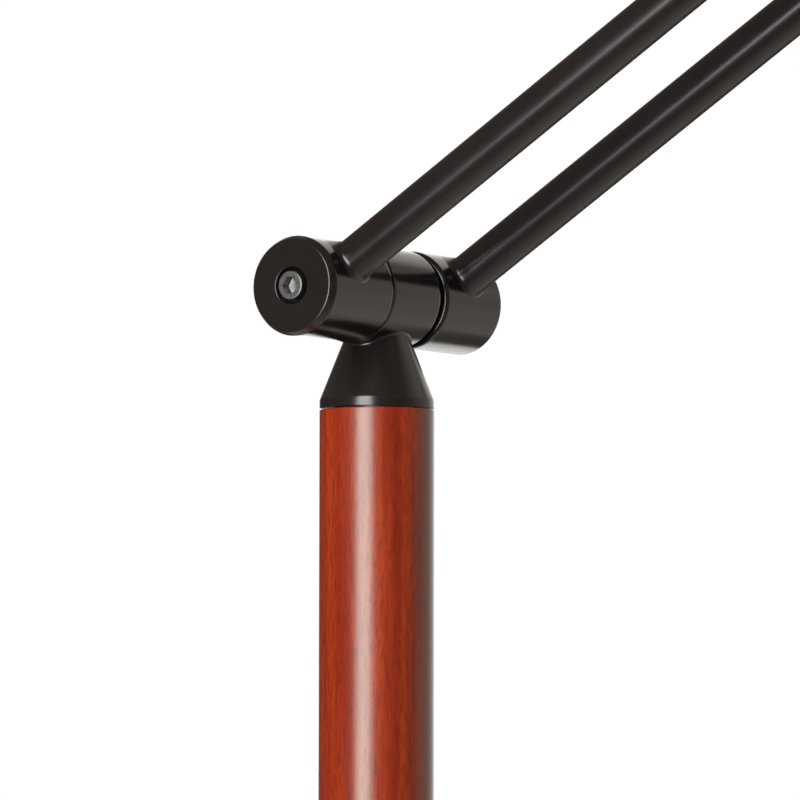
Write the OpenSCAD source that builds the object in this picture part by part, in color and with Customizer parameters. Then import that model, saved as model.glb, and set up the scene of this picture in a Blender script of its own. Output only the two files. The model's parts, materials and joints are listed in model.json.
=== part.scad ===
// Reading floor lamp. A wooden column stands on a weighted round base. Twin tube arms turn on a
// friction hinge at the top of the column, and carry a tilting shade with a turn switch.
// Millimetres, +Z up, origin on the floor under the column. The arms reach towards +X and both
// hinge axes lie along Y. Front is -Y, where the heads of the hinge bolts are.

/* [Base] */
// Diameter of the base cover
base_d = 280; // [240:5:340]
// Sheet thickness of the base cover
cover_wall = 2; // [1.5:0.1:2.5]
// Radius where the cover's edge turns into its top
base_round = 7; // [5:0.5:10]
// Rise of the cover from that radius to its centre
crown_rise = 5; // [3:0.5:10]
// Thickness of the iron weight
weight_t = 12; // [11:0.5:18]
// Thickness of the foam pad under the base
pad_t = 3; // [2:0.5:5]
// Height of the cover's lower edge above the floor
pad_show = 1.5; // [1:0.1:1.8]
// Diameter of the cord gland's body
gland_d = 9; // [8:0.5:9.5]
// Bore of the cord gland
gland_bore = 6.6; // [5:0.2:7]
// Height of the cord channel under the weight
channel_h = 9.5; // [9.5:0.1:10]

/* [Column] */
// Diameter of the wooden column
column_d = 33.4; // [31:0.2:40]
// Bore through the column
column_bore = 11; // [10.6:0.2:14]
// Rounding of the column's end edges
column_round = 0.4; // [0.2:0.1:1.2]
// Diameter of the hollow threaded rod
rod_d = 10; // [9:0.5:10.4]
// Bore of the hollow rod
rod_bore = 7; // [5:0.5:7.5]
// Height of the shoulder hinge above the floor
shoulder_h = 1060; // [800:5:1300]
// Diameter of the cone at the column's foot
foot_cone_d = 62; // [50:1:90]
// Height of the cone at the column's foot
foot_cone_h = 36; // [25:1:60]

/* [Hinges] */
// Diameter of the hinge drums
drum_d = 28.8; // [27:0.2:32]
// Length of a front arm's drum
front_drum_len = 31; // [28:0.2:36]
// Length of a rear arm's drum
rear_drum_len = 29.6; // [27.4:0.2:34]
// Length of the fixed drum between the arms' drums
tee_len = 24; // [22:0.2:30]
// Rounding of the arm drums' edges
drum_round = 1.7; // [0.5:0.1:2]
// Rounding of the fixed drums' edges
gap_round = 1.2; // [0.4:0.1:1.8]
// Thickness of the front friction ring
front_ring_t = 0.5; // [0.4:0.1:1.5]
// Thickness of the rear friction ring
rear_ring_t = 3.2; // [2:0.1:4.6]
// Outer diameter of the friction rings
ring_d = 24; // [22:0.2:25]
// Bore of the front friction ring
front_ring_bore = 12; // [8:0.5:16]
// Diameter of the wire space in the drums
cavity_d = 19; // [16:0.5:20]
// Depth of the wire space in a fixed drum
tee_cavity = 13; // [11:0.5:16]
// Depth of the wire space in a rear arm drum
drum_cavity = 18.5; // [17:0.5:19.5]
// Distance from the hinge axis down to the foot of the cone
cone_drop = 33.2; // [32:0.1:45]
// Upright lip at the foot of the cone
cone_lip = 2.5; // [1.5:0.1:4]
// Half angle of the cone
cone_angle = 21.7; // [18:0.1:24]

/* [Hinge bolts] */
// Shank diameter of the hinge bolts
bolt_d = 5; // [4:0.5:6]
// Head diameter of the hinge bolts
bolt_head_d = 8.5; // [8:0.1:10]
// Head height of the hinge bolts
bolt_head_h = 5; // [4:0.1:6]
// How far the bolt head stands out of the drum
bolt_proud = 0.7; // [0.5:0.1:2.5]
// Width across flats of the hexagon socket
socket_af = 4; // [3:0.1:4.5]
// Depth of the hexagon socket
socket_depth = 2.8; // [2:0.1:3.2]
// Diameter of the counterbore round the bolt head
counterbore_d = 11.2; // [11:0.1:13]
// Width across flats of the lock nut
nut_af = 8; // [7.5:0.1:10]
// Height of the lock nut
nut_h = 5; // [4:0.1:6]
// Diameter of the recess for the lock nut
nut_recess_d = 14; // [13:0.1:16]
// Outer diameter of the disc spring
spring_d = 12; // [11:0.1:12.6]
// Thickness of the disc spring
spring_t = 1; // [0.6:0.1:1.2]
// Dish of the disc spring
spring_dish = 0.6; // [0.3:0.1:0.8]
// Depth that the lock nut sits below the drum's face
nut_sunk = 0.8; // [0.3:0.1:2]

/* [Arms] */
// Diameter of the arm tubes
arm_d = 12.7; // [11:0.1:14]
// Wall of the arm tubes
arm_wall = 1.2; // [0.8:0.1:1.6]
// Distance between the two hinge axes
arm_len = 560; // [420:5:700]
// Angle of the arms above the horizontal
arm_rise = 32.2; // [10:0.2:60]
// Distance between the two arms' centre lines
arm_spacing = 59; // [57:0.2:61]
// Diameter of the wire hole from a rear drum into its tube
wire_hole_d = 8; // [5:0.5:8.5]
// Throat radius of the weld between a tube and a drum
weld_r = 2.6; // [1.5:0.1:3.2]

/* [Swivel] */
// Diameter of the swivel post
post_d = 14; // [13:0.5:15]
// Height of the swivel post above its flange
post_h = 13; // [11:0.5:13.5]
// Diameter of the swivel post's flange
post_flange_d = 24; // [20:0.5:25]
// Thickness of the swivel post's flange
post_flange_t = 3; // [2:0.1:4]
// Thickness of the swivel washer
swivel_washer_t = 1; // [0.5:0.1:1.5]
// Diameter of the locking groove in the post
groove_d = 11; // [10.4:0.1:11.6]
// Diameter of the grub screw
grub_d = 4; // [3:0.5:4.5]
// Length of the grub screw
grub_len = 6.2; // [5:0.1:6.6]

/* [Head] */
// Diameter of the lampholder cup
cup_d = 44; // [42:0.2:45]
// Length of the lampholder cup
cup_len = 50; // [46:1:70]
// Wall of the lampholder cup
cup_wall = 1.2; // [0.8:0.1:1.6]
// Rounding of the cup's upper edge
cup_round = 3; // [2:0.5:4]
// Number of vent holes round the cup
vent_count = 10; // [6:1:12]
// Diameter of the vent holes
vent_d = 4.5; // [3:0.5:6]
// Diameter of the hollow nipple that holds the cup to the cone
nipple_d = 10; // [8:0.5:11]
// Bore of the nipple
nipple_bore = 7; // [5:0.5:7]
// Length of the nipple inside the cone
nipple_grip = 12; // [8:0.5:13]
// Diameter of the lampholder's body
holder_d = 34; // [33:0.2:36]
// Diameter of the lampholder's threaded neck
neck_d = 38; // [37:0.2:39]
// Length of the lampholder's threaded neck
neck_len = 16; // [14:0.5:20]
// Thickness of the lampholder's flange
holder_flange_t = 4; // [3:0.5:6]
// Outer diameter of the shade ring
shade_ring_d = 50; // [46:0.5:54]
// Height of the shade ring
shade_ring_h = 7; // [5:0.5:9]
// Diameter of the shade's mouth
mouth_d = 180; // [160:1:220]
// Height of the shade
shade_h = 136; // [120:1:160]
// Sheet thickness of the shade
shade_wall = 1; // [0.8:0.1:1.5]
// Radius of the shade's shoulder
shade_round = 12; // [8:0.5:14]
// Diameter of the rolled bead at the mouth
bead_d = 2.6; // [2.2:0.1:4]

/* [Bulb] */
// Diameter of the bulb's glass
bulb_d = 60; // [50:1:66]
// Wall of the bulb's glass
glass_wall = 1; // [0.6:0.1:1.5]
// Distance from the lampholder's mouth to the centre of the glass
bulb_reach = 50; // [44:1:56]
// Diameter of the bulb's screw cap
cap_d = 26.2; // [25.6:0.1:26.6]
// Diameter of the bulb's neck where the glass meets the cap
bulb_neck_d = 25; // [22:0.5:25.5]
// Depth of the lampholder's socket
socket_len = 26; // [24:0.5:28]
// Outer diameter of the brass screw shell
shell_d = 29.4; // [28.8:0.1:29.8]
// Wall of the brass screw shell
shell_wall = 0.8; // [0.5:0.1:1]

/* [Switch] */
// Diameter of the knob's grip
knob_d = 13; // [11:0.5:16]
// Length of the knob
knob_len = 16; // [12:0.5:20]
// Diameter of the knob's skirt
knob_skirt_d = 16; // [16:0.5:20]
// Thickness of the knob's skirt
knob_skirt_t = 3; // [2:0.5:4]
// Number of flutes round the knob
flute_count = 14; // [8:1:16]
// Diameter of the switch spindle
spindle_d = 4; // [3:0.5:5]
// Distance of the spindle below the top of the cup
spindle_drop = 27; // [24:0.5:30]

/* [Clearances] */
// Radial clearance of turning fits
turn_clear = 0.05; // [0.02:0.01:0.08]
// Radial clearance of fixed and threaded fits
seat_clear = 0.1; // [0.05:0.01:0.2]
// Free space round parts that pass each other
pass_clear = 0.3; // [0.3:0.05:0.5]

/* [Hidden] */
$fn = 96;
round_steps = 6;
overcut = 1;

// Derived heights of the base and the column
edge_h = pad_t + weight_t;
base_h = edge_h + base_round + crown_rise;
weight_d = base_d - 2 * cover_wall - 2 * pass_clear;
crown_flat_d = foot_cone_d + 6;
gland_z = pad_t + channel_h / 2;
gland_flange_t = 2;
gland_flange_d = gland_d + 3;
gland_inner_len = 4;
channel_w = gland_d + 4 * pass_clear;
rod_nut_af = rod_d + 7;
rod_nut_h = 6;
rod_washer_d = rod_d + 12;
rod_washer_t = 2;
rod_end_gap = 1;
rod_recess_h = rod_end_gap + rod_nut_h + rod_washer_t;
rod_recess_d = rod_washer_d + 4;
column_z0 = base_h + foot_cone_h;
seam_z = shoulder_h - cone_drop;

// Derived places along a hinge axis
drum_r = drum_d / 2;
cone_r = column_d / 2;
tee_front = -tee_len / 2;
tee_rear = tee_len / 2;
front_in = tee_front - front_ring_t;
front_out = front_in - front_drum_len;
rear_in = tee_rear + rear_ring_t;
rear_out = rear_in + rear_drum_len;
head_seat = front_out + bolt_head_h - bolt_proud;
nut_face = rear_out - nut_sunk;
nut_seat = nut_face - nut_h;
spring_seat = nut_seat - spring_t - spring_dish;
cone_top_z = -drum_r / 2;

// Derived places of the swivel, measured from the hinge axis
seam_drop = -cone_drop;
recess_top = seam_drop + post_flange_t + swivel_washer_t;
recess_d = post_flange_d + 2 * pass_clear;
post_top = seam_drop + post_flange_t + post_h;
groove_z = seam_drop + post_flange_t + post_h / 2;
groove_h = grub_d + 2 * pass_clear;
grub_tip = groove_d / 2 + pass_clear;
rod_in_post = post_flange_t + (post_h - groove_h) / 2 - overcut;

// Derived places of the head, measured down from the hinge axis
cup_top = cone_drop;
cup_end = cup_top + cup_len;
holder_top = cup_top + cup_wall;
shade_top = cup_end + pass_clear;
holder_end = shade_top + neck_len;
socket_top = holder_end - socket_len;
socket_d = shell_d + 2 * seat_clear;
holder_flange_d = cup_d - 2 * cup_wall - 2 * seat_clear;
contact_d = 8;
contact_t = 1.2;
tip_d = 9;
tip_h = 2;
cap_top = socket_top + contact_t;
cap_end = holder_end + 1;
shell_gap = 2;
bulb_centre = holder_end + bulb_reach;
shade_end = shade_top + shade_h;
ring_margin = 2.7;
shade_shoulder = [shade_ring_d / 2 + ring_margin, -(shade_top + shade_round)];
shade_lean = touch_angle([mouth_d / 2, -shade_end], shade_shoulder, shade_round, 1);
vent_drop = 11;
spindle_z = -(cup_top + spindle_drop);
spindle_in = 9;
knob_in = cup_d / 2 + 2 * pass_clear;
knob_cover = 4;
flute_d = 1.8;
nipple_in_holder = 8;

head_x = arm_len * cos(arm_rise);
head_z = shoulder_h + arm_len * sin(arm_rise);

// Points of an arc from angle a0 to a1
function arc(centre, r, a0, a1) = [
    for (i = [0 : round_steps])
        let (a = a0 + (a1 - a0) * i / round_steps)
            centre + r * [cos(a), sin(a)]
];

// Angle on a circle where a straight line from a point outside touches it, on its side 1 or -1
function touch_angle(point, centre, r, side) =
    let (to = point - centre)
        atan2(to[1], to[0]) + side * acos(r / norm(to));

// Half outline of a round bar, with the rounding of its end at 0 and of its end at length
function bar_outline(r, length, round0, round1) = concat(
    [[0, 0]],
    arc([r - round0, round0], round0, -90, 0),
    arc([r - round1, length - round1], round1, 0, 90),
    [[0, length]]
);

// Half outline of the base cover, taken in by a sheet thickness
function cover_outline(inset, foot_z) =
    let (
        crown = [crown_flat_d / 2, base_h - inset],
        centre = [base_d / 2 - base_round, edge_h],
        r = base_round - inset
    ) concat(
        [[0, foot_z], [base_d / 2 - inset, foot_z]],
        arc(centre, r, 0, touch_angle(crown, centre, r, -1)),
        [crown, [0, base_h - inset]]
    );

// Half outline of the shade, taken in by a sheet thickness, with z measured up
function shade_outline(inset, end_z) =
    let (
        r = shade_round - inset,
        start = shade_shoulder + r * [cos(shade_lean), sin(shade_lean)]
    ) concat(
        [[0, -shade_top - inset]],
        arc(shade_shoulder, r, 90, shade_lean),
        [[start[0] + (start[1] - end_z) * tan(shade_lean), end_z], [0, end_z]]
    );

// Half outline of the lampholder cup, taken in by its wall, with z measured up from its mouth
function cup_outline(inset, mouth_z) = concat(
    [[0, mouth_z], [cup_d / 2 - inset, mouth_z]],
    arc([cup_d / 2 - cup_round, cup_len - cup_round], cup_round - inset, 0, 90),
    [[0, cup_len - inset]]
);

// Half outline of the bulb's glass, taken in by its wall, with z measured up
function bulb_outline(inset) =
    let (
        neck = [bulb_neck_d / 2 - inset, -cap_end],
        centre = [0, -bulb_centre],
        r = bulb_d / 2 - inset,
        start = touch_angle(neck, centre, r, -1)
    ) concat(
        [[0, -cap_end], neck],
        [for (i = [0 : 4 * round_steps]) centre + r * [
            cos(start - (start + 90) * i / (4 * round_steps)),
            sin(start - (start + 90) * i / (4 * round_steps))
        ]]
    );

// Half outline of the cone under a fixed drum, with its lip at foot_z
function cone_outline(foot_z) =
    let (
        lip_z = foot_z + cone_lip,
        top_r = cone_r - (cone_top_z - lip_z) * tan(cone_angle)
    ) [[0, foot_z], [cone_r, foot_z], [cone_r, lip_z], [top_r, cone_top_z], [0, cone_top_z]];

// Width across corners of a hexagon
function corners(af) = af / cos(30);

// Centre of the ball that rolls between a tube and a drum, at angle a round the tube
function weld_ball(a) =
    let (
        side = (arm_d / 2 + weld_r) * cos(a),
        along = (arm_d / 2 + weld_r) * sin(a)
    ) [sqrt(pow(drum_r + weld_r, 2) - side * side), along, side];

// One cross-section of a weld at angle a round the tube: the hollow throat, then the corner
function weld_section(a) =
    let (
        ball = weld_ball(a),
        to_tube = [0, -sin(a), -cos(a)],
        to_drum = -[ball[0], 0, ball[2]] / (drum_r + weld_r),
        open = acos(to_tube * to_drum),
        side = arm_d / 2 * cos(a),
        corner = [sqrt(drum_r * drum_r - side * side), arm_d / 2 * sin(a), side]
    ) concat(
        [for (i = [0 : round_steps])
            let (t = i / round_steps)
                ball + weld_r * (sin((1 - t) * open) * to_tube + sin(t * open) * to_drum) / sin(open)],
        [corner]
    );

module along_y(y0) {
    translate([0, y0, 0])
        rotate([-90, 0, 0])
            children();
}

module y_rod(d, y0, y1) {
    along_y(y0) cylinder(d = d, h = y1 - y0);
}

module z_rod(d, z0, z1) {
    translate([0, 0, z0]) cylinder(d = d, h = z1 - z0);
}

module ring(d, bore, h) {
    difference() {
        cylinder(d = d, h = h);
        translate([0, 0, -overcut]) cylinder(d = bore, h = h + 2 * overcut);
    }
}

module hexagon(af, h) {
    cylinder(d = corners(af), h = h, $fn = 6);
}

// Frames of the two hinges and of the arms
module at_shoulder() {
    translate([0, 0, shoulder_h]) children();
}

module at_head() {
    translate([head_x, 0, head_z]) children();
}

module along_arm() {
    at_shoulder() rotate([0, -arm_rise, 0]) children();
}

// Drum of the front arm, which holds the bolt's head
module front_drum() {
    difference() {
        along_y(front_out)
            rotate_extrude() polygon(bar_outline(drum_r, front_drum_len, drum_round, drum_round));
        y_rod(bolt_d + 2 * seat_clear, front_out - overcut, front_in + overcut);
        y_rod(counterbore_d, front_out - overcut, head_seat);
    }
}

// Drum of the rear arm, with the wire space, the nut's recess and a wire hole towards wire_dir
module rear_drum(wire_dir) {
    difference() {
        along_y(rear_in)
            rotate_extrude() polygon(bar_outline(drum_r, rear_drum_len, drum_round, drum_round));
        y_rod(bolt_d + 2 * seat_clear, rear_in - overcut, rear_out + overcut);
        y_rod(cavity_d, rear_in - overcut, rear_in + drum_cavity);
        y_rod(nut_recess_d, spring_seat, rear_out + overcut);
        translate([0, arm_spacing / 2, 0])
            rotate([0, 90 * wire_dir, 0])
                cylinder(d = wire_hole_d, h = drum_d);
    }
}

// Fixed drum and its cone as one piece, with the bolt's bore and the wire space
module tee_blank(foot_gap) {
    difference() {
        union() {
            along_y(tee_front)
                rotate_extrude() polygon(bar_outline(drum_r, tee_len, gap_round, gap_round));
            rotate_extrude() polygon(cone_outline(seam_drop + foot_gap));
        }
        y_rod(bolt_d + 2 * turn_clear, tee_front - overcut, tee_rear + overcut);
        y_rod(cavity_d, tee_rear - tee_cavity, tee_rear + overcut);
    }
}

module hinge_bolt() {
    difference() {
        union() {
            along_y(front_out - bolt_proud) cylinder(d = bolt_head_d, h = bolt_head_h);
            y_rod(bolt_d, head_seat - overcut, nut_face);
        }
        along_y(front_out - bolt_proud - overcut) hexagon(socket_af, socket_depth + overcut);
    }
}

module hinge_nut() {
    difference() {
        along_y(nut_seat) hexagon(nut_af, nut_h);
        y_rod(bolt_d + 2 * seat_clear, nut_seat - overcut, nut_face + overcut);
    }
}

module hinge_disc_spring() {
    bore_r = bolt_d / 2 + seat_clear;
    along_y(spring_seat)
        rotate_extrude()
            polygon([
                [bore_r, spring_dish], [spring_d / 2, 0],
                [spring_d / 2, spring_t], [bore_r, spring_dish + spring_t]
            ]);
}

module front_ring() {
    along_y(front_in) ring(ring_d, front_ring_bore, front_ring_t);
}

module rear_ring() {
    along_y(tee_rear) ring(ring_d, cavity_d, rear_ring_t);
}

// One arm tube, cut to sit on both drums
module arm_tube(y) {
    translate([0, y, 0])
        difference() {
            rotate([0, 90, 0]) cylinder(d = arm_d, h = arm_len);
            translate([-overcut, 0, 0])
                rotate([0, 90, 0])
                    cylinder(d = arm_d - 2 * arm_wall, h = arm_len + 2 * overcut);
            y_rod(drum_d, -arm_d, arm_d);
            translate([arm_len, 0, 0]) y_rod(drum_d, -arm_d, arm_d);
        }
}

// Weld round the foot of a tube on a drum that has its axis along Y
module weld() {
    stations = 48;
    size = round_steps + 2;
    points = [for (k = [0 : stations - 1]) each weld_section(360 * k / stations)];
    faces = [
        for (k = [0 : stations - 1], i = [0 : size - 1])
            let (k1 = (k + 1) % stations, i1 = (i + 1) % size)
                each [
                    [k * size + i, k * size + i1, k1 * size + i1],
                    [k * size + i, k1 * size + i1, k1 * size + i]
                ]
    ];
    polyhedron(points, faces);
}

module base_pad() {
    color("dimgray") cylinder(d = weight_d, h = pad_t);
}

module base_weight() {
    color("darkslategray")
        difference() {
            union() {
                z_rod(weight_d, pad_t, edge_h);
                z_rod(foot_cone_d, pad_t, base_h - cover_wall);
            }
            z_rod(rod_d + 2 * seat_clear, 0, base_h);
            z_rod(rod_recess_d, 0, pad_t + rod_recess_h);
            translate([-base_d, -channel_w / 2, 0]) cube([base_d, channel_w, pad_t + channel_h]);
        }
}

module base_cover() {
    color([0.1, 0.1, 0.1])
        difference() {
            rotate_extrude()
                difference() {
                    polygon(cover_outline(0, pad_show));
                    polygon(cover_outline(cover_wall, pad_show - overcut));
                }
            z_rod(rod_d + 2 * seat_clear, 0, base_h + overcut);
            translate([-base_d, 0, gland_z])
                rotate([0, 90, 0])
                    cylinder(d = gland_d + 2 * seat_clear, h = base_d / 2 + cover_wall + overcut);
        }
}

// The gland's flange lies outside the cover, and its body reaches into the cord channel
module cord_gland() {
    color([0.08, 0.08, 0.08])
        translate([-base_d / 2, 0, gland_z])
            rotate([0, -90, 0])
                difference() {
                    union() {
                        cylinder(d = gland_flange_d, h = gland_flange_t);
                        z_rod(gland_d, -cover_wall - gland_inner_len, overcut);
                    }
                    z_rod(gland_bore, -cover_wall - gland_inner_len - overcut, gland_flange_t + overcut);
                }
}

module rod_washer() {
    color("silver")
        translate([0, 0, pad_t + rod_end_gap + rod_nut_h])
            ring(rod_washer_d, rod_d + 2 * seat_clear, rod_washer_t);
}

module rod_nut() {
    color("silver")
        translate([0, 0, pad_t + rod_end_gap])
            difference() {
                hexagon(rod_nut_af, rod_nut_h);
                z_rod(rod_d + 2 * seat_clear, -overcut, rod_nut_h + overcut);
            }
}

module column_rod() {
    color("silver")
        difference() {
            z_rod(rod_d, pad_t + rod_end_gap, seam_z + rod_in_post);
            z_rod(rod_bore, 0, seam_z + rod_in_post + overcut);
        }
}

module foot_cone() {
    lip_z = foot_cone_h - cone_lip;
    color([0.1, 0.1, 0.1])
        translate([0, 0, base_h])
            difference() {
                rotate_extrude()
                    polygon([
                        [0, 0], [foot_cone_d / 2, 0], [foot_cone_d / 2, cone_lip],
                        [cone_r, lip_z], [cone_r, foot_cone_h], [0, foot_cone_h]
                    ]);
                z_rod(rod_d + 2 * seat_clear, -overcut, foot_cone_h + overcut);
            }
}

module column() {
    color([0.55, 0.16, 0.08])
        difference() {
            translate([0, 0, column_z0])
                rotate_extrude()
                    polygon(bar_outline(cone_r, seam_z - column_z0, column_round, column_round));
            z_rod(column_bore, column_z0 - overcut, seam_z + overcut);
        }
}

// The post is screwed onto the rod and clamps the column
module swivel_post() {
    color("silver")
        at_shoulder()
            difference() {
                union() {
                    z_rod(post_flange_d, seam_drop, seam_drop + post_flange_t);
                    z_rod(post_d, seam_drop, post_top);
                }
                difference() {
                    z_rod(post_d + overcut, groove_z - groove_h / 2, groove_z + groove_h / 2);
                    z_rod(groove_d, seam_drop, post_top);
                }
                z_rod(rod_d + 2 * seat_clear, seam_drop - overcut, seam_drop + rod_in_post);
                z_rod(rod_bore, seam_drop, post_top + overcut);
            }
}

module swivel_washer() {
    color("white")
        at_shoulder()
            translate([0, 0, seam_drop + post_flange_t])
                ring(post_flange_d, post_d + 2 * pass_clear, swivel_washer_t);
}

module shoulder_tee() {
    color([0.1, 0.1, 0.1])
        at_shoulder()
            difference() {
                tee_blank(pass_clear);
                z_rod(recess_d, seam_drop - overcut, recess_top);
                z_rod(post_d + 2 * turn_clear, seam_drop, post_top + pass_clear);
                z_rod(rod_bore, seam_drop, 0);
                translate([0, 0, groove_z])
                    rotate([0, -90, 0])
                        cylinder(d = grub_d + 2 * seat_clear, h = column_d);
            }
}

// Grub screw that holds the tee on its post, at the back
module swivel_screw() {
    color([0.15, 0.15, 0.15])
        at_shoulder()
            translate([-grub_tip, 0, groove_z])
                rotate([0, -90, 0])
                    difference() {
                        cylinder(d = grub_d, h = grub_len);
                        translate([0, 0, grub_len / 2]) hexagon(grub_d / 2, grub_len);
                    }
}

module front_shoulder_drum() {
    color([0.1, 0.1, 0.1]) along_arm() front_drum();
}

module rear_shoulder_drum() {
    color([0.1, 0.1, 0.1]) along_arm() rear_drum(1);
}

module front_head_drum() {
    color([0.1, 0.1, 0.1]) along_arm() translate([arm_len, 0, 0]) front_drum();
}

module rear_head_drum() {
    color([0.1, 0.1, 0.1]) along_arm() translate([arm_len, 0, 0]) rear_drum(-1);
}

module front_arm_tube() {
    color([0.1, 0.1, 0.1]) along_arm() arm_tube(-arm_spacing / 2);
}

module rear_arm_tube() {
    color([0.1, 0.1, 0.1]) along_arm() arm_tube(arm_spacing / 2);
}

module weld_beads() {
    color([0.1, 0.1, 0.1])
        along_arm()
            for (y = [-arm_spacing / 2, arm_spacing / 2], end = [0, 1])
                translate([end * arm_len, y, 0]) rotate([0, 0, 180 * end]) weld();
}

module shoulder_front_ring() {
    color([0.15, 0.15, 0.15]) at_shoulder() front_ring();
}

module shoulder_rear_ring() {
    color([0.15, 0.15, 0.15]) at_shoulder() rear_ring();
}

module shoulder_bolt() {
    color([0.2, 0.2, 0.2]) along_arm() hinge_bolt();
}

module shoulder_disc_spring() {
    color("silver") along_arm() hinge_disc_spring();
}

module shoulder_nut() {
    color([0.2, 0.2, 0.2]) along_arm() hinge_nut();
}

module head_front_ring() {
    color([0.15, 0.15, 0.15]) at_head() front_ring();
}

module head_rear_ring() {
    color([0.15, 0.15, 0.15]) at_head() rear_ring();
}

module head_bolt() {
    color([0.2, 0.2, 0.2]) at_head() hinge_bolt();
}

module head_disc_spring() {
    color("silver") at_head() hinge_disc_spring();
}

module head_nut() {
    color([0.2, 0.2, 0.2]) at_head() hinge_nut();
}

module head_tee() {
    color([0.1, 0.1, 0.1])
        at_head()
            difference() {
                tee_blank(0);
                z_rod(nipple_d + 2 * seat_clear, seam_drop - overcut, seam_drop + nipple_grip);
                z_rod(nipple_bore, seam_drop, 0);
            }
}

module nipple() {
    color("silver")
        at_head()
            translate([0, 0, -(holder_top + nipple_in_holder)])
                ring(nipple_d, nipple_bore, nipple_grip + cup_wall + nipple_in_holder);
}

module socket_cup() {
    color([0.1, 0.1, 0.1])
        at_head()
            difference() {
                translate([0, 0, -cup_end])
                    rotate_extrude()
                        difference() {
                            polygon(cup_outline(0, 0));
                            polygon(cup_outline(cup_wall, -overcut));
                        }
                z_rod(nipple_d + 2 * seat_clear, -cup_end, -cup_top + overcut);
                translate([0, 0, spindle_z])
                    rotate([0, 90, 0])
                        cylinder(d = spindle_d + 4 * pass_clear, h = cup_d);
                for (i = [0 : vent_count - 1])
                    rotate([0, 0, 360 * (i + 0.5) / vent_count])
                        translate([cup_d / 2 - cup_wall - overcut, 0, -(cup_top + vent_drop)])
                            rotate([0, 90, 0])
                                cylinder(d = vent_d, h = cup_wall + 2 * overcut);
            }
}

// Lampholder with the switch chamber in its upper half and the screw socket in its neck
module lampholder() {
    color("ivory")
        at_head()
            difference() {
                union() {
                    z_rod(holder_d, -holder_end, -holder_top);
                    z_rod(neck_d, -holder_end, -shade_top);
                    z_rod(holder_flange_d, -shade_top, -shade_top + holder_flange_t);
                }
                z_rod(nipple_d + 2 * seat_clear, -(holder_top + nipple_in_holder), -holder_top + overcut);
                z_rod(socket_d, -holder_end - overcut, -socket_top);
                translate([spindle_in, 0, spindle_z])
                    rotate([0, 90, 0])
                        cylinder(d = spindle_d + 2 * turn_clear, h = cup_d);
            }
}

module screw_shell() {
    color("goldenrod")
        at_head()
            translate([0, 0, -holder_end])
                ring(shell_d, shell_d - 2 * shell_wall, socket_len - shell_gap);
}

module centre_contact() {
    color("goldenrod") at_head() z_rod(contact_d, -cap_top, -socket_top);
}

module shade_ring() {
    color("ivory")
        at_head()
            translate([0, 0, -shade_top - shade_wall - shade_ring_h])
                ring(shade_ring_d, neck_d + 2 * seat_clear, shade_ring_h);
}

module shade() {
    color([0.12, 0.12, 0.12])
        at_head()
            difference() {
                union() {
                    rotate_extrude()
                        difference() {
                            polygon(shade_outline(0, -shade_end));
                            polygon(shade_outline(shade_wall, -shade_end - overcut));
                        }
                    rotate_extrude()
                        translate([(mouth_d - shade_wall) / 2, -shade_end]) circle(d = bead_d);
                }
                z_rod(neck_d + 2 * seat_clear, -shade_top - shade_wall - overcut, -shade_top + overcut);
            }
}

module bulb_cap() {
    color("silver")
        at_head()
            union() {
                z_rod(tip_d, -cap_top - tip_h - overcut, -cap_top);
                z_rod(cap_d, -cap_end, -cap_top - tip_h);
            }
}

module bulb_glass() {
    color("whitesmoke")
        at_head()
            rotate_extrude()
                difference() {
                    polygon(bulb_outline(0));
                    polygon(bulb_outline(glass_wall));
                }
}

module switch_spindle() {
    color("goldenrod")
        at_head()
            translate([0, 0, spindle_z])
                rotate([0, 90, 0])
                    z_rod(spindle_d, spindle_in + pass_clear, knob_in + knob_len - knob_cover);
}

module switch_knob() {
    color([0.08, 0.08, 0.08])
        at_head()
            translate([knob_in, 0, spindle_z])
                rotate([0, 90, 0])
                    difference() {
                        union() {
                            cylinder(d = knob_skirt_d, h = knob_skirt_t);
                            cylinder(d = knob_d, h = knob_len);
                        }
                        z_rod(spindle_d + 2 * seat_clear, -overcut, knob_len - knob_cover);
                        for (i = [0 : flute_count - 1])
                            rotate([0, 0, 360 * i / flute_count])
                                translate([knob_d / 2, 0, knob_skirt_t])
                                    cylinder(d = flute_d, h = knob_len);
                    }
}

base_pad();
base_weight();
base_cover();
cord_gland();
rod_washer();
rod_nut();
column_rod();
foot_cone();
column();
swivel_post();
swivel_washer();
shoulder_tee();
swivel_screw();
front_shoulder_drum();
rear_shoulder_drum();
front_arm_tube();
rear_arm_tube();
front_head_drum();
rear_head_drum();
weld_beads();
shoulder_front_ring();
shoulder_rear_ring();
shoulder_bolt();
shoulder_disc_spring();
shoulder_nut();
head_front_ring();
head_rear_ring();
head_bolt();
head_disc_spring();
head_nut();
head_tee();
nipple();
socket_cup();
lampholder();
screw_shell();
centre_contact();
shade_ring();
shade();
bulb_cap();
bulb_glass();
switch_spindle();
switch_knob();
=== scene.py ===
import json
import math

import bmesh
import bpy
from mathutils import Matrix, Vector


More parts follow.
